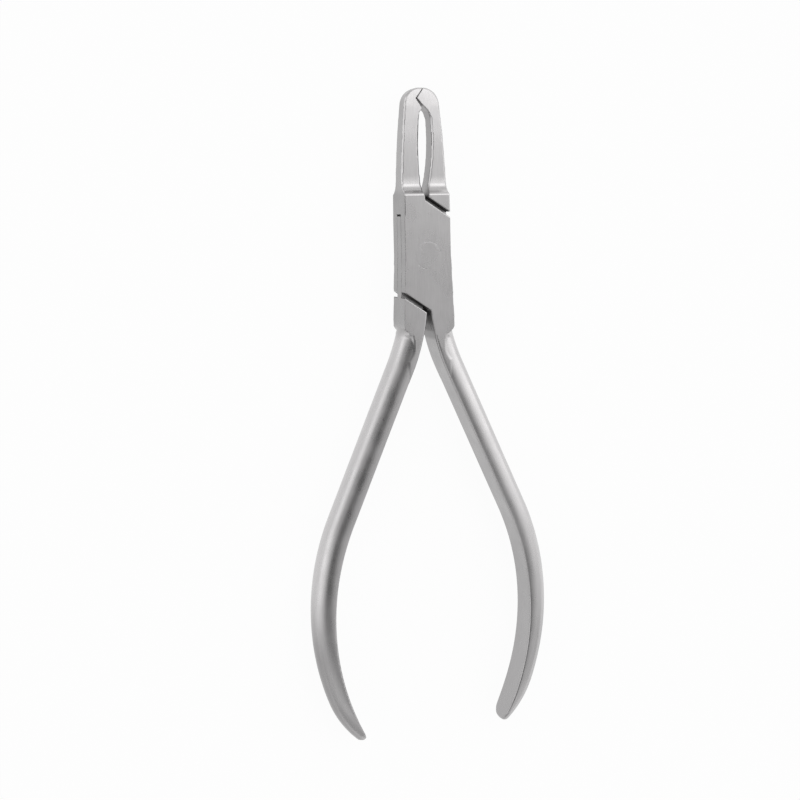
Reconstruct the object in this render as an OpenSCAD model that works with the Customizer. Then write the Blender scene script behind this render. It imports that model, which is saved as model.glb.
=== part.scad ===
// Crimping pliers with a box joint, lying flat, jaws closed.
// Origin: pivot axis on the flat back face. +Y to the jaw tips, +Z up along the pivot.

/* [Joint] */
// Thickness of the joint between its two flat faces
joint_t = 7.5; // [7.4:0.1:8.5]
// Width of the joint at the pivot
joint_w = 10; // [9.4:0.1:11]
// Extra width at the lower corners, each side
joint_flare = 0.5; // [0.2:0.05:0.8]
// Pivot to the shoulder where the jaws begin
joint_up = 12.3; // [11.9:0.1:13]
// Pivot to the lower corners of the joint
joint_down = 14; // [13.4:0.1:14.6]
// Thickness of the tongue that runs between the cheeks
tongue_t = 2.5; // [2:0.1:3]
// Play between the tongue and each cheek
side_play = 0.05; // [0.03:0.01:0.1]
// Radius of the rounded ends of the tongue
tongue_r = 9.5; // [9:0.1:9.8]
// Clearance from the ends of the tongue to the slot
slot_gap = 0.3; // [0.2:0.05:0.5]
// Pivot to the sloping edge of the cheeks
cheek_reach = 9.15; // [8.8:0.05:9.5]
// Width of the slits at the cheek edges
slit_w = 0.9; // [0.7:0.05:1.1]
// Slope of the slits across the joint, degrees
slit_tilt = 34; // [30:1:38]
// Length of the tapered lower corners
corner_len = 1.5; // [1.2:0.1:1.8]
// How far the lower corners taper in, each side
corner_in = 0.4; // [0.2:0.05:0.6]

/* [Rivet] */
// Diameter of the pivot rivet
rivet_d = 4; // [3.2:0.1:4.6]
// Extra diameter of the flush rivet heads
head_extra = 1.4; // [0.8:0.1:2]
// Depth of each countersunk head
head_depth = 0.9; // [0.6:0.1:1.4]
// Running play of the tongue on the rivet, on the radius
pivot_play = 0.04; // [0.02:0.01:0.08]

/* [Jaws] */
// Pivot to the flat top of the jaw tips
jaw_reach = 34.1; // [32:0.1:36]
// Thickness of the jaws at the shoulder
jaw_root_t = 4.1; // [3.6:0.1:4.6]
// Thickness of the jaws at the tips
jaw_tip_t = 3; // [2.4:0.1:3.5]
// Radius of the long outer curve of the jaws
jaw_side_r = 210; // [180:5:260]
// Corner radius of the jaw tips
tip_r = 3; // [2.4:0.1:3.2]
// Widest reach of the mouth into the jaw with the wedge
mouth_wedge = 1.95; // [1.6:0.05:2.2]
// Widest reach of the mouth into the jaw with the notch
mouth_notch = 1; // [0.8:0.05:1.3]
// How far the wedge crosses the middle line
wedge_reach = 1.05; // [0.8:0.05:1.3]
// Gap between wedge and notch with the jaws closed
wedge_gap = 0.15; // [0.1:0.01:0.25]
// Jaw tips to the point of the wedge
apex_drop = 2.15; // [1.9:0.05:2.5]
// Point of the wedge to the lip below the notch
lip_drop = 2.1; // [1.8:0.05:2.4]
// Jaw tips to the widest place of the mouth
mouth_drop = 10.1; // [9:0.1:11]

/* [Handles] */
// Diameter of the round handle bar
bar_d = 7.3; // [6.6:0.1:7.3]
// Bar axis to the flattened inner face
flat_reach = 1.3; // [1:0.05:1.5]
// Outward slope of the straight part, degrees
splay = 23.6; // [22:0.1:25]
// Radius of the neck below the joint
neck_r = 52; // [48:1:58]
// Length of the straight part
straight_len = 34; // [26:0.1:40]
// Radius of the inward bend
bend_r = 50; // [47:1:56]
// Angle of the inward bend, degrees
bend_angle = 44; // [41:0.5:46]
// Radius of the quick curve that closes the handle end
end_r = 18; // [15:0.5:20]
// Radius of the scallop beside the flat strip on the handle root
scallop_r = 4.4; // [4:0.1:4.8]
// Joint corner to the middle of the scallop, along the handle
scallop_drop = 5.3; // [5:0.1:5.6]
// Width of the flat strip where it runs out
strip_end_w = 1.3; // [1:0.1:1.6]
// Radius of the round nose at the handle tip
round_r = 0.95; // [0.8:0.05:1.2]

/* [Hidden] */
$fn = 120;
fine = 720;
mid_z = joint_t / 2;
half_w = joint_w / 2;
low_w = half_w + joint_flare;
slot_r = tongue_r + slot_gap;
slot_t = tongue_t + 2 * side_play;
tongue_edge = cheek_reach + slit_w;
rivet_r = rivet_d / 2;
head_r = rivet_r + head_extra / 2;
rivet_sink = 0.05;
rivet_fit = 0.02;
head_top_r = head_r - rivet_sink * (head_r - rivet_r) / head_depth;
far = 160;
nest = 0.02;
seat = 0.5;

// Jaw outline: two long curves and two tip corners
side_y = joint_up - 4;
tip_cy = jaw_reach - tip_r;
tip_cx = sqrt(pow(jaw_side_r - tip_r, 2) - pow(tip_cy - side_y, 2)) - (jaw_side_r - half_w);
tip_tan = tip_cy + tip_r * (tip_cy - side_y) / (jaw_side_r - tip_r);
step = (joint_t - jaw_root_t) / 2;
tip_step = (joint_t - jaw_tip_t) / 2;

// Mouth between the jaws: one long curve in each jaw, then wedge and notch
apex_y = jaw_reach - apex_drop;
lip_y = apex_y - lip_drop;
mouth_y = jaw_reach - mouth_drop;
over = joint_w + 7;
wedge_r = 45;
wedge_c = [mouth_wedge - wedge_r, mouth_y];
wedge_foot_y = apex_y - 4;
wedge_foot_x = wedge_c[0] + sqrt(pow(wedge_r, 2) - pow(wedge_foot_y - wedge_c[1], 2));
notch_r = 75;
notch_c = [notch_r - mouth_notch, mouth_y - 3];
lip_x = 0.06;
part_x = 0.4;
part_top_x = 1.1;
notch_foot_y = lip_y - 0.7;
notch_foot_x = notch_c[0] - sqrt(pow(notch_r, 2) - pow(notch_foot_y - notch_c[1], 2));

// Handle bar: neck, straight, bend and end, as arcs about centres in the plan
bar_r = bar_d / 2;
neck_a = 9.5;
neck_in = 4.17;
neck_sink = 2.2;
neck_from = [low_w - neck_in, neck_sink - joint_down];
out = [cos(splay), sin(splay)];
along = [sin(splay), -cos(splay)];
neck_c = neck_from + neck_r * [cos(neck_a), sin(neck_a)];
run_a = neck_c - neck_r * out;
run_b = run_a + straight_len * along;
bend_c = run_b - bend_r * out;
end_a = splay - bend_angle;
end_c = bend_c + (bend_r - end_r) * [cos(end_a), sin(end_a)];
end_sweep = 62;

// Flattened inner face of the handle, and the flat strip beside it
strip_in = 0.3;
scallop_out = 2.1;
flat_a = run_a - flat_reach * out;
flat_b = run_b - flat_reach * out;
neck_flat_r = neck_r - 9;
neck_flat_c = flat_a + neck_flat_r * out;
flat_ease = 2.5;
bend_flat_r = bend_r + flat_ease;
bend_flat_c = flat_b - bend_flat_r * out;
root_y = -joint_down + 1.7;
root_x = neck_flat_c[0] - sqrt(pow(neck_flat_r, 2) - pow(root_y - neck_flat_c[1], 2));

// Round nose at the handle tip: it touches the flattened face and the outside of the bar
nose_in = bend_flat_r + round_r;
nose_out = end_r + bar_r - nest - round_r;
nose_way = end_c - bend_flat_c;
nose_span = norm(nose_way);
nose_turn = acos((pow(nose_in, 2) + pow(nose_span, 2) - pow(nose_out, 2)) / (2 * nose_in * nose_span));
nose_a = atan2(nose_way[1], nose_way[0]) - nose_turn;
nose_c = bend_flat_c + nose_in * [cos(nose_a), sin(nose_a)];
to_flat = (bend_flat_c - nose_c) / nose_in;
to_back = (nose_c - end_c) / nose_out;
to_tip = (to_flat + to_back) / norm(to_flat + to_back);
nose_clear = 8;
end_round = bar_r + 0.1;

// Outline of both jaws, down to the widest line of the joint
module jaw_outline() {
    intersection() {
        translate([half_w - jaw_side_r, side_y]) circle(r = jaw_side_r, $fn = fine);
        translate([jaw_side_r - half_w, side_y]) circle(r = jaw_side_r, $fn = fine);
        translate([-half_w - 1, side_y]) square([joint_w + 2, tip_tan - side_y]);
    }
    translate([tip_cx, tip_cy]) circle(r = tip_r);
    translate([-tip_cx, tip_cy]) circle(r = tip_r);
    translate([-tip_cx, tip_cy]) square([2 * tip_cx, tip_r]);
}

// Outline of the joint below that line
module joint_outline() {
    polygon([
        [-half_w, side_y], [half_w, side_y], [half_w, 0], [low_w, -joint_down],
        [low_w - corner_in, -joint_down - corner_len], [corner_in - low_w, -joint_down - corner_len],
        [-low_w, -joint_down], [-half_w, 0]
    ]);
}

// Flat strip that runs from the joint onto the root of the right handle
module root_strip() {
    difference() {
        polygon([
            [0, -joint_down + 2], [low_w - strip_in, -joint_down + 2],
            [low_w - strip_in, -joint_down - scallop_drop + scallop_r],
            flat_a + strip_end_w * out - 0.5 * along, flat_a - 3 * out - 0.5 * along
        ]);
        translate([low_w - strip_in + scallop_out, -joint_down - scallop_drop]) circle(r = scallop_r);
    }
}

module body_outline() {
    union() {
        jaw_outline();
        joint_outline();
    }
}

// Everything beyond a sloping slit edge, on the jaw side
module beyond(d) {
    rotate(-slit_tilt) translate([-far, d]) square([2 * far, far]);
}

// Space beside the jaw with the notch
module notch_space() {
    intersection() {
        translate(notch_c) circle(r = notch_r, $fn = fine);
        translate([-mouth_notch - 2, 0]) square([over, notch_foot_y]);
    }
    polygon([
        [over, notch_foot_y - 0.5], [2, notch_foot_y - 0.5], [notch_foot_x, notch_foot_y],
        [lip_x, lip_y], [-wedge_reach - wedge_gap, apex_y], [part_x - wedge_gap, apex_y + 2],
        [part_top_x - wedge_gap, jaw_reach + 1], [over, jaw_reach + 1]
    ]);
}

// Space beside the jaw with the wedge
module wedge_space() {
    intersection() {
        translate(wedge_c) circle(r = wedge_r, $fn = fine);
        translate([mouth_wedge + 1 - over, 0]) square([over, wedge_foot_y]);
    }
    polygon([
        [-over, wedge_foot_y - 0.5], [0, wedge_foot_y - 0.5], [wedge_foot_x, wedge_foot_y],
        [mouth_wedge - 0.6, apex_y - 2.65], [-wedge_reach, apex_y], [part_x, apex_y + 2],
        [part_top_x, jaw_reach + 1], [-over, jaw_reach + 1]
    ]);
}

// Side profile of what is taken off one face of the jaws, from shoulder to tip
module thinning() {
    translate([joint_up + step, joint_t]) circle(r = step);
    polygon([
        [joint_up + step, joint_t - step], [jaw_reach + 1, joint_t - tip_step],
        [jaw_reach + 1, joint_t + 2], [joint_up + step, joint_t + 2]
    ]);
}

module thin_jaws() {
    for (s = [0, 1])
        translate([0, 0, s * joint_t]) mirror([0, 0, s])
            translate([-joint_w, 0, 0]) rotate([90, 0, 90]) linear_extrude(2 * joint_w) thinning();
}

// One arc of the round bar about a centre in the plan
module bar_arc(c, r, a, sweep, tube) {
    translate([c[0], c[1], mid_z]) rotate(a)
        rotate_extrude(angle = sweep, $fn = 360) translate([r, 0]) circle(r = tube);
}

// Round bar of the right handle, each piece seated a little way into the next
module bar() {
    bar_arc(neck_c, neck_r, 180 + neck_a, splay - neck_a, bar_r);
    translate([run_a[0], run_a[1], mid_z]) rotate([90, 0, splay])
        translate([0, 0, -seat]) cylinder(r = bar_r - nest, h = straight_len + 2 * seat);
    bar_arc(bend_c, bend_r, end_a, bend_angle, bar_r);
    bar_arc(end_c, end_r, end_a - end_sweep, end_sweep + 2, bar_r - nest);
}

// Plan of the space on the inner side of the right handle and beyond its rounded tip
module inner_side() {
    difference() {
        polygon([
            [-30, 0], [4, 0], flat_a + 2 * out, flat_a,
            flat_b - 1.5 * along, flat_b - 1.5 * along - 10 * out, flat_a - 30 * out
        ]);
        translate(neck_flat_c) circle(r = neck_flat_r, $fn = fine);
    }
    translate(bend_flat_c) circle(r = bend_flat_r, $fn = fine);
    difference() {
        polygon([
            nose_c, nose_c + nose_clear * to_flat,
            nose_c + 2 * nose_clear * to_tip, nose_c + nose_clear * to_back
        ]);
        translate(nose_c) circle(r = round_r + nest);
    }
}

// What is taken off the tip of the right handle, so that its flattened face ends in a half circle
module tip_corners() {
    translate([nose_c[0], nose_c[1], mid_z]) rotate(nose_a) translate([-6, end_round - round_r, 0])
        rotate([90, 0, 90]) linear_extrude(12) difference() {
            translate([-2 * end_round, -bar_r - 1]) square([2 * end_round, 2 * bar_r + 2]);
            circle(r = end_round);
        }
}

// Half with the notched jaw, both cheeks and the right handle
module slotted_half() {
    color([0.72, 0.72, 0.71])
    difference() {
        union() {
            linear_extrude(joint_t) {
                body_outline();
                root_strip();
            }
            bar();
        }
        // mouth and upper slit
        translate([0, 0, -1]) linear_extrude(joint_t + 2) intersection() {
            beyond(cheek_reach);
            notch_space();
        }
        // lower slit and split between the handles
        translate([0, 0, -1]) linear_extrude(joint_t + 2) intersection() {
            rotate(180) beyond(cheek_reach);
            inner_side();
        }
        // slot for the tongue
        translate([0, 0, mid_z - slot_t / 2]) linear_extrude(slot_t) {
            circle(r = slot_r);
            intersection() {
                translate(notch_c) circle(r = notch_r, $fn = fine);
                translate([-3, 0]) square([12, joint_up + 1]);
            }
            intersection() {
                inner_side();
                translate([-9, -joint_down]) square([12, joint_down]);
            }
        }
        thin_jaws();
        tip_corners();
        // rivet bore and countersinks
        translate([0, 0, -1]) cylinder(r = rivet_r + rivet_fit, h = joint_t + 2);
        for (s = [0, 1])
            translate([0, 0, s * joint_t]) mirror([0, 0, s])
                cylinder(r1 = head_r + rivet_fit, r2 = rivet_r + rivet_fit, h = head_depth);
    }
}

// Half with the wedge jaw, the tongue and the left handle
module tongue_half() {
    color([0.70, 0.70, 0.69])
    difference() {
        union() {
            // jaw and its root
            linear_extrude(joint_t) intersection() {
                difference() {
                    body_outline();
                    wedge_space();
                }
                beyond(tongue_edge);
            }
            // tongue
            translate([0, 0, mid_z - tongue_t / 2]) linear_extrude(tongue_t) intersection() {
                body_outline();
                union() {
                    circle(r = tongue_r);
                    translate([root_x, 0]) square([8, joint_up - 0.1]);
                    translate([-8 - root_x, root_y]) square([8, -root_y]);
                }
            }
            // left handle and its root
            difference() {
                union() {
                    linear_extrude(joint_t) intersection() {
                        union() {
                            joint_outline();
                            mirror([1, 0]) root_strip();
                        }
                        rotate(180) beyond(tongue_edge);
                    }
                    mirror([1, 0, 0]) bar();
                }
                translate([0, 0, -1]) linear_extrude(joint_t + 2) mirror([1, 0]) inner_side();
                mirror([1, 0, 0]) tip_corners();
            }
        }
        thin_jaws();
        translate([0, 0, -1]) cylinder(r = rivet_r + pivot_play, h = joint_t + 2);
    }
}

// Flush rivet with a countersunk head at each end
module pivot_rivet() {
    color([0.74, 0.74, 0.73])
    union() {
        translate([0, 0, rivet_sink]) cylinder(r = rivet_r, h = joint_t - 2 * rivet_sink);
        for (s = [0, 1])
            translate([0, 0, s * joint_t]) mirror([0, 0, s]) translate([0, 0, rivet_sink])
                cylinder(r1 = head_top_r, r2 = rivet_r, h = head_depth - rivet_sink);
    }
}

slotted_half();
tongue_half();
pivot_rivet();
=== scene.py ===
"""Looks of the crimping pliers: two satin steel halves and their rivet, lying on a pale studio floor."""
import math
from functools import reduce

import bpy
import numpy as np
from mathutils import Matrix, Vector


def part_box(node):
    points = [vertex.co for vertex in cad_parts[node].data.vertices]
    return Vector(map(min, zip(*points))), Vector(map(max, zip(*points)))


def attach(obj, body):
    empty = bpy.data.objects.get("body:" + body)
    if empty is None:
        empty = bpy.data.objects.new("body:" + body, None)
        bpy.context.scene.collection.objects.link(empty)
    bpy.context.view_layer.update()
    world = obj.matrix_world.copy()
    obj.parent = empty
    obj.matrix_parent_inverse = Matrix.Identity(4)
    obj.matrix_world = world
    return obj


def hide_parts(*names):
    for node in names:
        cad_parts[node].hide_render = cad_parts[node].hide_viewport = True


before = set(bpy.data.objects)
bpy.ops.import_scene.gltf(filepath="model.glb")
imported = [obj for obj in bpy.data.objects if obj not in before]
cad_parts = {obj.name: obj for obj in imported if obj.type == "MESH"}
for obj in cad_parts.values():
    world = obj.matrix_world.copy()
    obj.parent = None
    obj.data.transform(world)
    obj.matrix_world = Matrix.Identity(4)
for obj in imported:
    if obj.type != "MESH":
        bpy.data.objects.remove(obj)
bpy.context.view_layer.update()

# Sizes in millimetres: those of the solids, and those of finer forms that the solids leave out
MM = 0.001
JOINT_T = (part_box("slotted_half")[1].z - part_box("slotted_half")[0].z) / MM
JAW_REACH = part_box("slotted_half")[1].y / MM
MID_Z = JOINT_T / 2
HALF_W = 5.0
JOINT_FLARE = 0.5
JOINT_UP = 12.3
JOINT_DOWN = 14.0
CORNER_LEN = 1.9
CORNER_R = 1.6
TONGUE_T = 2.5
SIDE_PLAY = 0.05
TONGUE_R = 9.5
SLOT_R = 9.8
SLOT_NEAR = 3
SLOT_FAR = 9
TONGUE_REACH = 8
CHEEK_REACH = 9.15
TONGUE_EDGE = 10.05
SLIT_TILT = math.radians(34)
SLIT_N = (math.sin(SLIT_TILT), math.cos(SLIT_TILT))

RIVET_R = 2.0
RIVET_HEAD_R = 2.7
RIVET_HEAD_DEPTH = 0.9
RIVET_FIT = 0.02
PIVOT_PLAY = 0.04

JAW_ROOT_T = 4.1
JAW_TIP_T = 3.0
JAW_SIDE_R = 210.0
SIDE_Y = JOINT_UP - 4
TIP_R = 3.0
SHOULDER_R = 0.75
SHOULDER_TILT = math.radians(55)
SHOULDER_Y = JOINT_UP + 0.3
JAW_ROOT_Y = JOINT_UP + (JOINT_T - JAW_ROOT_T) / 2
ROOT_EASE_Y = JAW_ROOT_Y + 2.3
ROOT_EASE = 0.018
EVEN_TAPER = 0.3
APEX_Y = JAW_REACH - 2.15
LIP_Y = APEX_Y - 2.1
MOUTH_Y = JAW_REACH - 10.1
WEDGE_R = 45.0
WEDGE_REACH = 1.05
MOUTH_WEDGE = 1.95
NOTCH_R = 75.0
MOUTH_NOTCH = 1.0
WEDGE_GAP = 0.15
PARTING_GAP = 0.05
LIP_X = 0.06
PART_X = 0.4
PART_Y = APEX_Y + 2
PART_TOP_X = 1.1
NOTCH_FOOT_Y = LIP_Y - 0.7
WEDGE_FOOT_Y = APEX_Y - 4
WEDGE_NECK = (MOUTH_WEDGE - 0.6, APEX_Y - 2.65)

BAR_R = 3.65
SPLAY = math.radians(23.6)
OUT = np.array((math.cos(SPLAY), math.sin(SPLAY)))
ALONG = np.array((math.sin(SPLAY), -math.cos(SPLAY)))
NECK_R = 52.0
NECK_A = math.radians(9.5)
NECK_FROM = np.array((1.33, -11.8))
STRAIGHT_LEN = 34.0
BEND_R = 50.0
BEND_ANGLE = math.radians(44)
END_R = 18.0
END_SWEEP = math.radians(62)
FLAT_REACH = 1.3
NECK_C = NECK_FROM + NECK_R * np.array((math.cos(NECK_A), math.sin(NECK_A)))
RUN_A = NECK_C - NECK_R * OUT
RUN_B = RUN_A + STRAIGHT_LEN * ALONG
BEND_C = RUN_B - BEND_R * OUT
END_A = SPLAY - BEND_ANGLE
END_C = BEND_C + (BEND_R - END_R) * np.array((math.cos(END_A), math.sin(END_A)))
FLAT_A = RUN_A - FLAT_REACH * OUT
FLAT_B = RUN_B - FLAT_REACH * OUT
NECK_FLAT_R = NECK_R - 9
NECK_FLAT_C = FLAT_A + NECK_FLAT_R * OUT
BEND_FLAT_R = BEND_R + 2.5
BEND_FLAT_C = FLAT_B - BEND_FLAT_R * OUT
NOSE_R = 0.95
NOSE_IN = BEND_FLAT_R + NOSE_R
NOSE_OUT = END_R + BAR_R - NOSE_R
NOSE_WAY = END_C - BEND_FLAT_C
NOSE_SPAN = math.hypot(*NOSE_WAY)
NOSE_TURN = math.acos((NOSE_IN**2 + NOSE_SPAN**2 - NOSE_OUT**2) / (2 * NOSE_IN * NOSE_SPAN))
NOSE_A = math.atan2(NOSE_WAY[1], NOSE_WAY[0]) - NOSE_TURN
NOSE_C = BEND_FLAT_C + NOSE_IN * np.array((math.cos(NOSE_A), math.sin(NOSE_A)))
TO_FLAT = (BEND_FLAT_C - NOSE_C) / NOSE_IN
TO_BACK = (NOSE_C - END_C) / NOSE_OUT
TO_TIP = (math.sin(NOSE_A), -math.cos(NOSE_A))
END_ROUND = BAR_R + 0.1
ROOT_Y = -JOINT_DOWN + 1.7
ROOT_X = NECK_FLAT_C[0] - math.sqrt(NECK_FLAT_R**2 - (ROOT_Y - NECK_FLAT_C[1]) ** 2)
SCALLOP_R = 4.6
SCALLOP_C = (8.1, -18.6)
NECK_SINK = 1.5
NECK_FADE = (-16.2, -14.2)
NECK_FILL = 1.4
STRIP_FILL = 0.35
STRIP_X = 5.2
STRIP_END_X = 4.75
STRIP_FALL_Y = -15.0
STRIP_END_Y = -23.5
STRIP_FALL = 0.0034

# Edge radii, and the widths of the bevels on the jaws
JOINT_EDGE = 0.25
SHOULDER_EDGE = 0.28
STRIP_EDGE = 0.5
JAW_EDGE = 0.3
TOOTH_EDGE = 0.06
SLIT_EDGE = 0.08
HANDLE_EDGE = 0.4
HANDLE_TIP_EDGE = 0.6
HANDLE_LEAST_EDGE = 0.1
HANDLE_TIP_FADE = (-90, -101)


# Distance fields: negative inside the metal
def smooth(low, high, value):
    """Smooth step from 0 at low to 1 at high."""
    t = np.clip((value - low) / (high - low), 0, 1)
    return t * t * (3 - 2 * t)


def least(*fields):
    """The fields together."""
    return reduce(np.minimum, fields)


def most(*fields):
    """What the fields share."""
    return reduce(np.maximum, fields)


def round_edge(a, b, r):
    """What two fields share, with the outer edge between them rounded to radius r."""
    return np.minimum(np.maximum(a, b), -r) + np.hypot(np.maximum(a + r, 0), np.maximum(b + r, 0))


def bevel(a, b, r):
    """What two fields share, with the outer edge between them cut off by r on both sides."""
    return most(a, b, (a + b + r) * math.sqrt(0.5))


def fill_corner(a, b, r):
    """Two fields together, with the inner corner between them filled to radius r."""
    return np.maximum(np.minimum(a, b), r) - np.hypot(np.maximum(r - a, 0), np.maximum(r - b, 0))


def arc_distance(x, y, centre, radius, start, sweep):
    """Plan distance to an arc that starts at an angle and turns through sweep, in radians."""
    dx = x - centre[0]
    dy = y - centre[1]
    middle = start + sweep / 2
    c = math.cos(middle)
    s = math.sin(middle)
    turn = np.arctan2(dy * c - dx * s, dx * c + dy * s)
    on_arc = np.abs(np.hypot(dx, dy) - radius)
    at_ends = []
    for angle in (start, start + sweep):
        at_ends.append(np.hypot(dx - radius * math.cos(angle), dy - radius * math.sin(angle)))
    return np.where(np.abs(turn) <= abs(sweep) / 2, on_arc, np.minimum(*at_ends))


def segment_distance(x, y, a, b):
    """Plan distance to a straight segment."""
    run = (b[0] - a[0], b[1] - a[1])
    t = ((x - a[0]) * run[0] + (y - a[1]) * run[1]) / (run[0] ** 2 + run[1] ** 2)
    t = np.clip(t, 0, 1)
    return np.hypot(x - a[0] - t * run[0], y - a[1] - t * run[1])


def right_of(x, y, points):
    """Signed plan distance to a line of points that climbs in y, positive on its right."""
    gap = least(*[segment_distance(x, y, a, b) for a, b in zip(points, points[1:])])
    edge = np.interp(y, [p[1] for p in points], [p[0] for p in points])
    return np.where(x > edge, gap, -gap)


def mouth_line(centre_x, centre_y, radius, side, top_y, teeth):
    """Inner edge of one jaw: a long arc from the joint up to top_y, then the points of its tooth."""
    heights = np.linspace(0, top_y, 15)
    arc = [(centre_x + side * math.sqrt(radius**2 - (y - centre_y) ** 2), y) for y in heights]
    return arc + teeth


NOTCH_LINE = mouth_line(
    NOTCH_R - MOUTH_NOTCH, MOUTH_Y - 3, NOTCH_R, -1, NOTCH_FOOT_Y,
    [(LIP_X, LIP_Y), (-WEDGE_REACH - WEDGE_GAP, APEX_Y), (PART_X - PARTING_GAP, PART_Y),
     (PART_TOP_X - PARTING_GAP, JAW_REACH + 1)],
)
WEDGE_LINE = mouth_line(
    MOUTH_WEDGE - WEDGE_R, MOUTH_Y, WEDGE_R, 1, WEDGE_FOOT_Y,
    [WEDGE_NECK, (-WEDGE_REACH, APEX_Y), (PART_X, PART_Y), (PART_TOP_X, JAW_REACH + 1)],
)


def outline(x, y):
    """Plan outline of both jaws and the joint."""
    rise = np.maximum(y - SIDE_Y, 0)
    drop = np.maximum(-y, 0)
    half = HALF_W - rise**2 / (2 * JAW_SIDE_R) + JOINT_FLARE * drop / JOINT_DOWN
    jaws = round_edge(np.abs(x) - half, y - JAW_REACH, TIP_R)
    return round_edge(jaws, -JOINT_DOWN - CORNER_LEN - y, CORNER_R)


def thickness(y, z):
    """Side profile: thick joint, hollow shoulder, and thin jaws that taper most near their tips."""
    off = np.abs(z - MID_Z)
    ramp = (y - SHOULDER_Y) * math.sin(SHOULDER_TILT) + (off - JOINT_T / 2) * math.cos(SHOULDER_TILT)
    joint = round_edge(off - JOINT_T / 2, ramp, SHOULDER_EDGE)
    share = np.maximum(y - JAW_ROOT_Y, 0) / (JAW_REACH - JAW_ROOT_Y)
    taper = share * (EVEN_TAPER + (1 - EVEN_TAPER) * share**3)
    ease = ROOT_EASE * np.maximum(ROOT_EASE_Y - y, 0) ** 2
    jaw = off - (JAW_ROOT_T + (JAW_TIP_T - JAW_ROOT_T) * taper) / 2 - ease
    return fill_corner(joint, jaw, SHOULDER_R)


def mouth_edge(y):
    """Bevel along the mouth: fine at the slit and at the teeth."""
    jaw = smooth(JOINT_UP - 1, JAW_ROOT_Y + 1, y) * (1 - smooth(LIP_Y - 2.5, LIP_Y, y))
    return TOOTH_EDGE + (JAW_EDGE - TOOTH_EDGE) * jaw


def block(x, y, z):
    """Joint with rounded edges and jaws with bevelled ones, before they are cut into halves."""
    joint = round_edge(thickness(y, z), outline(x, y), JOINT_EDGE)
    jaws = bevel(thickness(y, z), outline(x, y), JAW_EDGE)
    return joint + (jaws - joint) * smooth(JOINT_UP, JAW_ROOT_Y, y)


def inner_face(x, y):
    """Plan depth behind the flattened inner face of the right handle, negative between the handles."""
    across = (x - FLAT_A[0]) * OUT[0] + (y - FLAT_A[1]) * OUT[1]
    reach = (x - FLAT_A[0]) * ALONG[0] + (y - FLAT_A[1]) * ALONG[1]
    neck = NECK_FLAT_R - np.hypot(x - NECK_FLAT_C[0], y - NECK_FLAT_C[1])
    bend = np.hypot(x - BEND_FLAT_C[0], y - BEND_FLAT_C[1]) - BEND_FLAT_R
    return np.where(reach < 0, neck, np.where(reach < STRAIGHT_LEN, across, bend))


def nose(x, y):
    """Plan field of the round nose at the tip of the right handle, far inside the metal elsewhere."""
    dx = x - NOSE_C[0]
    dy = y - NOSE_C[1]
    past_flat = TO_FLAT[0] * dy - TO_FLAT[1] * dx
    past_back = TO_BACK[1] * dx - TO_BACK[0] * dy
    return np.where((past_flat > 0) & (past_back > 0), np.hypot(dx, dy) - NOSE_R, -BAR_R)


def round_tip(bar, x, y, z):
    """The right handle's bar with its flattened face ended in a half circle."""
    past = (x - NOSE_C[0]) * TO_TIP[0] + (y - NOSE_C[1]) * TO_TIP[1] + END_ROUND - NOSE_R
    half_circle = np.hypot(np.maximum(past, 0), z - MID_Z) - END_ROUND
    return round_edge(bar, half_circle, HANDLE_LEAST_EDGE + HANDLE_TIP_EDGE * smooth(0.2, 2.5, past))


def handle(x, y, z):
    """Round bar of the right handle, flattened inside, with a round tip."""
    axis = least(
        arc_distance(x, y, NECK_C, NECK_R, math.pi + NECK_A, SPLAY - NECK_A),
        segment_distance(x, y, RUN_A, RUN_B),
        arc_distance(x, y, BEND_C, BEND_R, SPLAY, -BEND_ANGLE),
        arc_distance(x, y, END_C, END_R, END_A, -END_SWEEP),
    )
    bar = np.hypot(axis, z - MID_Z) - BAR_R
    edge = HANDLE_EDGE + (HANDLE_TIP_EDGE - HANDLE_EDGE) * smooth(*HANDLE_TIP_FADE, y)
    return round_tip(round_edge(bar, np.maximum(-inner_face(x, y), nose(x, y)), edge), x, y, z)


def root_strip(x, y, z):
    """Flat strip from the joint's faces onto the root of the right handle, with its scallop."""
    fall = STRIP_FALL * np.maximum(STRIP_FALL_Y - y, 0) ** 2
    face = np.abs(z - MID_Z) - JOINT_T / 2 + fall
    side = x - STRIP_X + (STRIP_X - STRIP_END_X) * smooth(STRIP_FALL_Y, STRIP_END_Y, y)
    scallop = SCALLOP_R - np.hypot(x - SCALLOP_C[0], y - SCALLOP_C[1])
    foot = (x - FLAT_A[0]) * ALONG[0] + (y - FLAT_A[1]) * ALONG[1] - 2
    top = y + JOINT_DOWN - 2
    plan = most(side, scallop, foot, top, -inner_face(x, y))
    return round_edge(face, plan, STRIP_EDGE)


def shared_root(x, y, z):
    """Joint, strip and right handle as one forging."""
    bar = handle(x, y, z) + NECK_SINK * smooth(*NECK_FADE, y)
    neck = fill_corner(block(x, y, z), bar, NECK_FILL)
    strip = fill_corner(bar, root_strip(x, y, z), STRIP_FILL)
    return most(least(neck, strip), np.abs(z - MID_Z) - JOINT_T / 2)


def slope(x, y):
    """Plan distance from the pivot across the slits."""
    return SLIT_N[0] * x + SLIT_N[1] * y


def box_plan(x, y, x0, x1, y0, y1):
    """Plan field of an upright rectangle."""
    return most(x0 - x, x - x1, y0 - y, y - y1)


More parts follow.
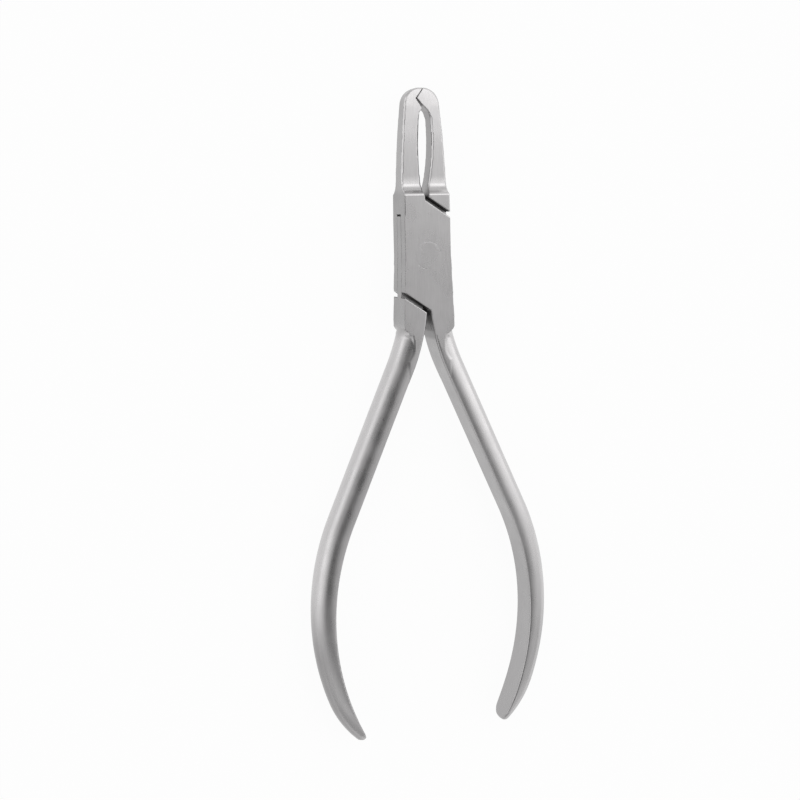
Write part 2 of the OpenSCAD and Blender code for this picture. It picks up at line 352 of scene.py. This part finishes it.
def slotted_half(x, y, z):
    """Notched left jaw, both cheeks and the right handle."""
    across = slope(x, y)
    body = shared_root(x, y, z)
    body = bevel(body, np.minimum(across - CHEEK_REACH, right_of(x, y, NOTCH_LINE)), mouth_edge(y))
    body = round_edge(body, np.minimum(-across - CHEEK_REACH, -inner_face(x, y)), SLIT_EDGE)
    slot = least(
        np.hypot(x, y) - SLOT_R,
        most(-right_of(x, y, NOTCH_LINE), box_plan(x, y, -SLOT_NEAR, SLOT_FAR, 0, JOINT_UP + 1)),
        most(inner_face(x, y), box_plan(x, y, -SLOT_FAR, SLOT_NEAR, -JOINT_DOWN, 0)),
    )
    slot = most(slot, np.abs(z - MID_Z) - TONGUE_T / 2 - SIDE_PLAY)
    body = round_edge(body, -slot, SLIT_EDGE)
    depth = np.maximum(np.abs(z - MID_Z) - JOINT_T / 2 + RIVET_HEAD_DEPTH, 0) / RIVET_HEAD_DEPTH
    bore = np.hypot(x, y) - RIVET_R - RIVET_FIT - (RIVET_HEAD_R - RIVET_R) * depth
    return most(body, -bore)


def tongue_half(x, y, z):
    """Wedge-shaped right jaw, tongue and left handle."""
    across = slope(x, y)
    jaw = bevel(block(x, y, z), -right_of(x, y, WEDGE_LINE), mouth_edge(y))
    jaw = round_edge(jaw, TONGUE_EDGE - across, SLIT_EDGE)
    grip = round_edge(shared_root(-x, y, z), -inner_face(-x, y), HANDLE_EDGE)
    grip = round_edge(grip, TONGUE_EDGE + across, SLIT_EDGE)
    plan = least(
        np.hypot(x, y) - TONGUE_R,
        box_plan(x, y, ROOT_X, ROOT_X + TONGUE_REACH, 0, JOINT_UP - 0.1),
        box_plan(x, y, -TONGUE_REACH - ROOT_X, -ROOT_X, ROOT_Y, 0),
    )
    plan = most(plan, outline(x, y))
    tongue = round_edge(plan, np.abs(z - MID_Z) - TONGUE_T / 2, SLIT_EDGE)
    return most(least(jaw, grip, tongue), RIVET_R + PIVOT_PLAY - np.hypot(x, y))


# Meshing
def steps(*stretches):
    """Grid lines: each stretch is (start, end, step)."""
    lines = [np.arange(a, b - step / 2, step) for a, b, step in stretches]
    return np.concatenate([*lines, [stretches[-1][1]]])


def surface_net(field, grid):
    """Points and quads of the surface where field is zero: one point in each grid cell it crosses."""
    xs, ys, zs = grid
    values = field(xs[:, None, None], ys[None, :, None], zs[None, None, :])
    cells = [len(lines) - 1 for lines in grid]
    owners, marks = [], []
    for axis in range(3):
        low = [slice(None)] * 3
        high = [slice(None)] * 3
        low[axis] = slice(None, -1)
        high[axis] = slice(1, None)
        v0 = values[tuple(low)]
        v1 = values[tuple(high)]
        edge = np.argwhere((v0 < 0) != (v1 < 0))
        a = v0[tuple(edge.T)]
        b = v1[tuple(edge.T)]
        mark = np.stack([grid[k][edge[:, k]] for k in range(3)], 1)
        mark[:, axis] += a / (a - b) * (grid[axis][edge[:, axis] + 1] - grid[axis][edge[:, axis]])
        u, v = [k for k in range(3) if k != axis]
        around = []
        for du, dv in ((1, 1), (0, 1), (0, 0), (1, 0)):
            cell = edge.copy()
            cell[:, u] -= du
            cell[:, v] -= dv
            around.append(np.ravel_multi_index(tuple(cell.T), cells))
        quad = np.stack(around, 1)
        flip = (a > 0) != (axis == 1)
        quad[flip] = quad[flip][:, ::-1]
        owners.append(quad)
        marks.append(np.repeat(mark, 4, 0))
    quads = np.concatenate(owners)
    marks = np.concatenate(marks)
    _, quads_flat = np.unique(quads.ravel(), return_inverse=True)
    count = np.bincount(quads_flat)
    points = np.stack([np.bincount(quads_flat, marks[:, k]) / count for k in range(3)], 1)
    return points, quads_flat.reshape(-1, 4)


def gradient(field, points, h=0.015):
    """Slope of a field at points, by central differences."""
    columns = []
    for axis in range(3):
        ahead = points.copy()
        back = points.copy()
        ahead[:, axis] += h
        back[:, axis] -= h
        columns.append((field(*ahead.T) - field(*back.T)) / (2 * h))
    return np.stack(columns, 1)


def settle(field, points, rounds=4, cap=0.08):
    """Moves points onto the surface and returns them with the surface's normals."""
    for _ in range(rounds):
        lean = gradient(field, points)
        step = field(*points.T) / np.maximum((lean**2).sum(1), 0.25)
        points = points - np.clip(step, -cap, cap)[:, None] * lean
    lean = gradient(field, points)
    return points, lean / np.maximum(np.linalg.norm(lean, axis=1), 1e-6)[:, None]


# Places along y where the polishing lines and the sides' shade go over to the handle and its end
GRAIN_TURN = (-12, -18)
GRIP_FADE = (-13.5, -18)
END_FADE = (-65, -85)


def grain_of(points, side):
    """Place across and along the polishing lines: down the jaws and the joint, then down the handle."""
    x = points[:, 0] * side
    y = points[:, 1]
    neck_turn = np.arctan2(NECK_C[1] - y, NECK_C[0] - x) - NECK_A
    neck = NECK_R * np.clip(neck_turn, 0, SPLAY - NECK_A)
    run = np.clip((x - RUN_A[0]) * ALONG[0] + (y - RUN_A[1]) * ALONG[1], 0, STRAIGHT_LEN)
    bend_turn = SPLAY - np.arctan2(y - BEND_C[1], x - BEND_C[0])
    bend = BEND_R * np.clip(bend_turn, 0, 1)
    past_run = (y < RUN_B[1] + 6) & (run >= STRAIGHT_LEN)
    length = neck + run + np.where(past_run, bend, 0)
    blend = smooth(*GRAIN_TURN, y)
    along = y * (1 - blend) + (NECK_FROM[1] - length) * blend
    across = x * (1 - blend) + inner_face(x, y) * blend
    return np.stack([across, along, points[:, 2]], 1)


# How dark the painted shade in a gap is: pairs of the distance in millimetres to the other half and the
# shade
GAP_SHADE = ((0.2, 1.0), (0.45, 1.0), (0.7, 1.0), (0.95, 1.0), (1.4, 0.6), (2.0, 0.4), (2.8, 0.2))


def facing(points, normals, other):
    """Painted gap shade by nearness of the other half in front: 1 inside the joint's gaps, 0 in the
    open.
    """
    shade = np.zeros(len(points))
    for reach, dark in GAP_SHADE:
        ahead = other(*(points + reach * normals).T)
        shade = np.maximum(shade, dark * (1 - smooth(0.0, 0.25 * reach, ahead)))
    return shade * (1 - smooth(JOINT_UP - 0.5, JOINT_UP + 0.5, points[:, 1]))


def painted_side_shade(points, normals, side):
    """Share of painted shade: up to 1 on the sides, 0 on the faces and the handles' backs."""
    x = points[:, 0]
    y = points[:, 1]
    nx, ny, nz = np.abs(normals.T)
    jaw = smooth(JOINT_UP, JAW_ROOT_Y, y)
    grip = smooth(*GRIP_FADE, y)
    end = smooth(*END_FADE, y)
    flank = (1 - jaw) * (1 - grip) * smooth(0.7, 0.95, nx / np.hypot(nx, ny).clip(1e-6))
    rounded = smooth(0.1, 0.4, inner_face(side * x, y))
    back = grip * rounded * (1 - end)
    outside = jaw * smooth(2.2, 3.0, np.abs(x))
    depth = 1 - 0.25 * outside - grip * (1 - rounded) * (0.14 + 0.14 * end)
    # The shade fades out between these two upward shares of the normal
    low = 0.15 + 0.5 * flank + 0.3 * end
    high = 0.6 + 0.38 * np.maximum(flank, end)
    return depth * (1 - back) * (1 - smooth(low, high, nz))


def forge(name, field, other, grid, side):
    """One half of the pliers as a mesh with true normals, in metres."""
    points, quads = surface_net(field, grid)
    points, normals = settle(field, points)
    mesh = bpy.data.meshes.new(name)
    mesh.vertices.add(len(points))
    mesh.vertices.foreach_set("co", (points * MM).astype(np.float32).ravel())
    mesh.loops.add(quads.size)
    mesh.loops.foreach_set("vertex_index", quads.astype(np.int32).ravel())
    mesh.polygons.add(len(quads))
    mesh.polygons.foreach_set("loop_start", np.arange(0, quads.size, 4, dtype=np.int32))
    mesh.update(calc_edges=True)
    mesh.validate()
    mesh.shade_smooth()
    mesh.normals_split_custom_set_from_vertices(normals.astype(np.float32).tolist())
    grain = mesh.attributes.new("grain", "FLOAT_VECTOR", "POINT")
    grain.data.foreach_set("vector", grain_of(points, side).astype(np.float32).ravel())
    # Shares of painted shade on the side faces and in the gaps between the halves, for the material
    side_shade = mesh.attributes.new("side_shade", "FLOAT", "POINT")
    side_shade.data.foreach_set("value", painted_side_shade(points, normals, side).astype(np.float32))
    painted_gap_shade = mesh.attributes.new("painted_gap_shade", "FLOAT", "POINT")
    painted_gap_shade.data.foreach_set("value", facing(points, normals, other).astype(np.float32))
    piece = bpy.data.objects.new(name, mesh)
    bpy.context.scene.collection.objects.link(piece)
    return piece


# Materials
def add(tree, kind, **sockets):
    """New node with its input values, by socket name."""
    node = tree.nodes.new(kind)
    for socket, value in sockets.items():
        node.inputs[socket.replace("_", " ")].default_value = value
    return node


# Painted shade: the colour of the side faces and of the gaps between the halves is darkened
SIDE_SHADE = 0.54
RECESS_SHADE = 0.5

# Polishing lines per millimetre across, along and up, and how much they darken and lighten the colour
LINE_SCALE = (7.0, 0.35, 7.0)
LINE_DARK = 0.93
LINE_LIGHT = 1.05

# Share of the fine speckle beside the lines in the bump
SPECKLE_SHARE = 0.6


def satin_steel(name, tint):
    """Satin steel: fine polishing lines along the tool, cloudy gloss, painted shade on the sides and in
    gaps.
    """
    material = bpy.data.materials.new(name)
    material.use_nodes = True
    tree = material.node_tree
    link = tree.links.new
    shader = tree.nodes["Principled BSDF"]
    shader.inputs["Specular IOR Level"].default_value = 0.0
    grain, side_shade, painted_gap_shade = [tree.nodes.new("ShaderNodeAttribute") for _ in range(3)]
    grain.attribute_name = "grain"
    side_shade.attribute_name = "side_shade"
    painted_gap_shade.attribute_name = "painted_gap_shade"

    # Polishing lines, fine speckle, and wide clouds of gloss
    stretch = add(tree, "ShaderNodeMapping", Scale=LINE_SCALE)
    link(grain.outputs["Vector"], stretch.inputs["Vector"])
    lines = add(tree, "ShaderNodeTexNoise", Scale=1.0, Detail=5.0, Roughness=0.65)
    link(stretch.outputs["Vector"], lines.inputs["Vector"])
    fine = add(tree, "ShaderNodeTexNoise", Scale=9.0, Detail=3.0, Roughness=0.6)
    link(grain.outputs["Vector"], fine.inputs["Vector"])
    cloud = add(tree, "ShaderNodeTexNoise", Scale=0.22, Detail=3.0)
    link(grain.outputs["Vector"], cloud.inputs["Vector"])

    colour = tree.nodes.new("ShaderNodeValToRGB")
    colour.color_ramp.elements[0].position = 0.3
    colour.color_ramp.elements[0].color = (*[c * LINE_DARK for c in tint], 1)
    colour.color_ramp.elements[1].position = 0.7
    colour.color_ramp.elements[1].color = (*[c * LINE_LIGHT for c in tint], 1)
    link(lines.outputs["Fac"], colour.inputs["Fac"])
    shaded = colour.outputs["Color"]
    # Painted shade: darkens the colour on the side faces and in the gaps
    for amount, shade in ((side_shade, SIDE_SHADE), (painted_gap_shade, RECESS_SHADE)):
        mix = tree.nodes.new("ShaderNodeMixRGB")
        mix.blend_type = "MULTIPLY"
        mix.inputs["Color2"].default_value = (shade, shade, shade, 1)
        link(amount.outputs["Fac"], mix.inputs["Fac"])
        link(shaded, mix.inputs["Color1"])
        shaded = mix.outputs["Color"]
    link(shaded, shader.inputs["Base Color"])
    metal = add(tree, "ShaderNodeMapRange", To_Min=1.0, To_Max=0.0)
    link(painted_gap_shade.outputs["Fac"], metal.inputs["Value"])
    link(metal.outputs["Result"], shader.inputs["Metallic"])

    gloss = add(tree, "ShaderNodeMapRange", From_Min=0.3, From_Max=0.7, To_Min=0.24, To_Max=0.33)
    link(cloud.outputs["Fac"], gloss.inputs["Value"])
    link(gloss.outputs["Result"], shader.inputs["Roughness"])

    height = tree.nodes.new("ShaderNodeMath")
    height.operation = "MULTIPLY_ADD"
    height.inputs[1].default_value = SPECKLE_SHARE
    link(fine.outputs["Fac"], height.inputs[0])
    link(lines.outputs["Fac"], height.inputs[2])
    bump = add(tree, "ShaderNodeBump", Strength=0.12, Distance=0.02 * MM)
    link(height.outputs["Value"], bump.inputs["Height"])
    link(bump.outputs["Normal"], shader.inputs["Normal"])
    return material


# Pieces
JAW_STEP = 0.178
TOOTH_STEP = 0.13
ROOT_STEP = 0.2
HANDLE_STEP = 0.36
END_STEP = 0.25
X_RIGHT = steps((-6.2, 6.2, JAW_STEP), (6.2, 27.6, END_STEP))
Y_HANDLE = ((-104.5, -96.0, END_STEP), (-96.0, -24.0, HANDLE_STEP), (-24.0, -16.0, ROOT_STEP))
Y_LINES = steps(*Y_HANDLE, (-16.0, 27.0, JAW_STEP), (27.0, 35.0, TOOTH_STEP))
Z_LINES = steps((-0.6, JOINT_T + 0.6, JAW_STEP))

steel = satin_steel("satin_steel", (0.6, 0.589, 0.592))
halves = (
    ("slotted_half_steel", "slotted_half", slotted_half, tongue_half, X_RIGHT, 1, "slotted_body"),
    ("tongue_half_steel", "tongue_half", tongue_half, slotted_half, -X_RIGHT[::-1], -1, "tongue_body"),
)
for name, node, field, other, x_lines, side, body in halves:
    piece = forge(name, field, other, (x_lines, Y_LINES, Z_LINES), side)
    piece.data.materials.append(steel)
    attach(piece, body)
    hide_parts(node)


def turned(name, profile, turns=96):
    """Solid of revolution about the pivot from (radius, height) points, in millimetres."""
    points = []
    faces = []
    for k in range(turns):
        a = 2 * math.pi * k / turns
        points += [(r * math.cos(a) * MM, r * math.sin(a) * MM, z * MM) for r, z in profile]
    n = len(profile)
    for k in range(turns):
        here = k * n
        ahead = (k + 1) % turns * n
        faces += [(here + i, ahead + i, ahead + i + 1, here + i + 1) for i in range(n - 1)]
    faces.append([k * n for k in reversed(range(turns))])
    faces.append([k * n + n - 1 for k in range(turns)])
    mesh = bpy.data.meshes.new(name)
    mesh.from_pydata(points, [], faces)
    mesh.shade_smooth()
    mesh.set_sharp_from_angle(angle=math.radians(30))
    grain = mesh.attributes.new("grain", "FLOAT_VECTOR", "POINT")
    grain.data.foreach_set("vector", np.array(points, np.float32).ravel() / MM)
    piece = bpy.data.objects.new(name, mesh)
    bpy.context.scene.collection.objects.link(piece)
    return piece


RIM_R = RIVET_HEAD_R + 0.12
RIM_UP = 0.002
half_profile = [
    (RIM_R - 0.3, RIM_UP), (RIM_R - 0.06, RIM_UP), (RIM_R, -0.002),
    (RIVET_HEAD_R - 0.04, -0.05), (RIVET_R, -RIVET_HEAD_DEPTH),
]
profile = [(r, -h) for r, h in half_profile] + [(r, JOINT_T + h) for r, h in reversed(half_profile)]
rivet = turned("pivot_rivet_steel", profile)
rivet.data.materials.append(steel)
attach(rivet, "slotted_body")
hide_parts("pivot_rivet")


# Stage
FLOOR_GLOW = 0.95
FLOOR_SIZE = 40.0
FLOOR_Z = -0.00002


def floor_material():
    """White paper that mostly glows for the camera and reflections, and so keeps only a faint shadow."""
    material = bpy.data.materials.new("floor_white")
    material.use_nodes = True
    tree = material.node_tree
    link = tree.links.new
    paper = tree.nodes["Principled BSDF"]
    paper.inputs["Base Color"].default_value = (0.95, 0.95, 0.95, 1)
    paper.inputs["Roughness"].default_value = 1.0
    paper.inputs["Specular IOR Level"].default_value = 0.0
    glow = add(tree, "ShaderNodeEmission", Color=(1, 1, 1, 1), Strength=1.0)
    path = tree.nodes.new("ShaderNodeLightPath")
    seen = path.outputs["Is Camera Ray"]
    for kind in ("Is Glossy Ray", "Is Transmission Ray"):
        either = tree.nodes.new("ShaderNodeMath")
        either.operation = "MAXIMUM"
        link(seen, either.inputs[0])
        link(path.outputs[kind], either.inputs[1])
        seen = either.outputs["Value"]
    share = tree.nodes.new("ShaderNodeMath")
    share.operation = "MULTIPLY"
    share.inputs[1].default_value = FLOOR_GLOW
    link(seen, share.inputs[0])
    mix = tree.nodes.new("ShaderNodeMixShader")
    link(share.outputs["Value"], mix.inputs["Fac"])
    link(paper.outputs["BSDF"], mix.inputs[1])
    link(glow.outputs["Emission"], mix.inputs[2])
    link(mix.outputs["Shader"], tree.nodes["Material Output"].inputs["Surface"])
    return material


bpy.ops.mesh.primitive_plane_add(size=FLOOR_SIZE, location=(0, 0, FLOOR_Z))
floor = bpy.context.object
floor.name = "floor"
floor.data.materials.append(floor_material())


LEAST_LIGHT = 0.12
MOST_LIGHT = 1.55


def studio_world():
    """Soft tent light by direction: bright at the sides and beyond the tips, dim around the camera."""
    world = bpy.data.worlds.new("studio")
    bpy.context.scene.world = world
    world.use_nodes = True
    tree = world.node_tree
    link = tree.links.new
    tree.nodes.clear()
    place = tree.nodes.new("ShaderNodeTexCoord")
    parts = tree.nodes.new("ShaderNodeSeparateXYZ")
    link(place.outputs["Generated"], parts.inputs["Vector"])

    def maths(operation, a, b):
        node = tree.nodes.new("ShaderNodeMath")
        node.operation = operation
        for socket, value in zip(node.inputs, (a, b)):
            if isinstance(value, (int, float)):
                socket.default_value = value
            else:
                link(value, socket)
        return node.outputs["Value"]

    def ramp(value, low, high, start, end, kind="LINEAR"):
        node = add(tree, "ShaderNodeMapRange", From_Min=low, From_Max=high, To_Min=start, To_Max=end)
        node.interpolation_type = kind
        link(value, node.inputs["Value"])
        return node.outputs["Result"]

    def ease(value, low, high, start, end):
        return ramp(value, low, high, start, end, "SMOOTHSTEP")

    # Light by the x and y of the direction: each ramp has its two ends and the light at them
    x = parts.outputs["X"]
    y = parts.outputs["Y"]
    upper = ease(y, 0.08, 0.3, 0.0, 1.0)
    left_low = maths("MULTIPLY", ramp(x, -0.44, -0.95, 0.0, 1.05), maths("SUBTRACT", 1.0, upper))
    left_high = maths("MULTIPLY", ramp(x, -0.76, -0.95, 0.0, 1.25), upper)
    left = maths("ADD", left_low, left_high)
    right = ramp(x, -0.04, 0.75, 0.0, 0.72)
    sides = maths("MULTIPLY", maths("MAXIMUM", left, right), ease(y, -0.1, -0.45, 1.12, 0.5))
    below = maths("MULTIPLY", ease(y, -0.25, -0.55, 0.0, 0.6), ease(y, -0.58, -0.78, 1.0, 0.62))
    key = maths("MULTIPLY", ease(x, 0.05, 0.3, 0.0, 1.0), ease(y, 0.02, 0.2, 0.0, 1.65))
    bank = ease(y, 0.3, 0.5, 0.0, 1.15)
    light = maths("MAXIMUM", maths("MAXIMUM", sides, below), bank)
    light = maths("MINIMUM", maths("ADD", light, key), MOST_LIGHT)
    dim = maths("MULTIPLY", ease(x, 0.4, 0.65, 0.0, 0.36), ease(y, 0.2, 0.4, 0.0, 1.0))
    light = maths("MULTIPLY", light, maths("SUBTRACT", 1.0, dim))
    light = maths("MULTIPLY", light, ease(y, 0.6, 0.8, 1.0, 0.42))
    strength = maths("ADD", light, LEAST_LIGHT)
    shader = add(tree, "ShaderNodeBackground", Color=(1, 1, 1, 1))
    link(strength, shader.inputs["Strength"])
    output = tree.nodes.new("ShaderNodeOutputWorld")
    link(shader.outputs["Background"], output.inputs["Surface"])


studio_world()

# Camera, fitted to the photograph's view: sizes in pixels and millimetres
PHOTO_SIZE = 800
PHOTO_SCALE = 4.8
CAMERA_FAR = 294.0
CAMERA_TURN = math.radians(18.3)
CAMERA_NOD = math.radians(7.5)
CAMERA_ROLL = math.radians(1.4)
PIVOT_PIXEL = (428.4, 255.4)
SENSOR = 36.0

focal = PHOTO_SCALE * CAMERA_FAR
turn = Matrix.Rotation(CAMERA_ROLL, 3, "Z") @ Matrix.Rotation(CAMERA_NOD, 3, "X")
turn = turn @ Matrix.Rotation(CAMERA_TURN, 3, "Y")
turn_back = turn.transposed()
middle = Vector((0, 0, MID_Z))
face = turn @ Vector((0, 0, JOINT_T - MID_Z))
depth = CAMERA_FAR - face.z
shift = Vector((
    (PIVOT_PIXEL[0] - PHOTO_SIZE / 2) / focal * depth - face.x,
    -(PIVOT_PIXEL[1] - PHOTO_SIZE / 2) / focal * depth - face.y,
    -CAMERA_FAR,
))
lens = bpy.data.cameras.new("camera")
lens.sensor_width = SENSOR
lens.lens = SENSOR * focal / PHOTO_SIZE
lens.clip_start = 0.01
lens.clip_end = 60.0
camera = bpy.data.objects.new("camera", lens)
bpy.context.scene.collection.objects.link(camera)
camera.matrix_world = Matrix.Translation((middle - turn_back @ shift) * MM) @ turn_back.to_4x4()
bpy.context.scene.camera = camera

bpy.context.scene.view_settings.view_transform = "Standard"
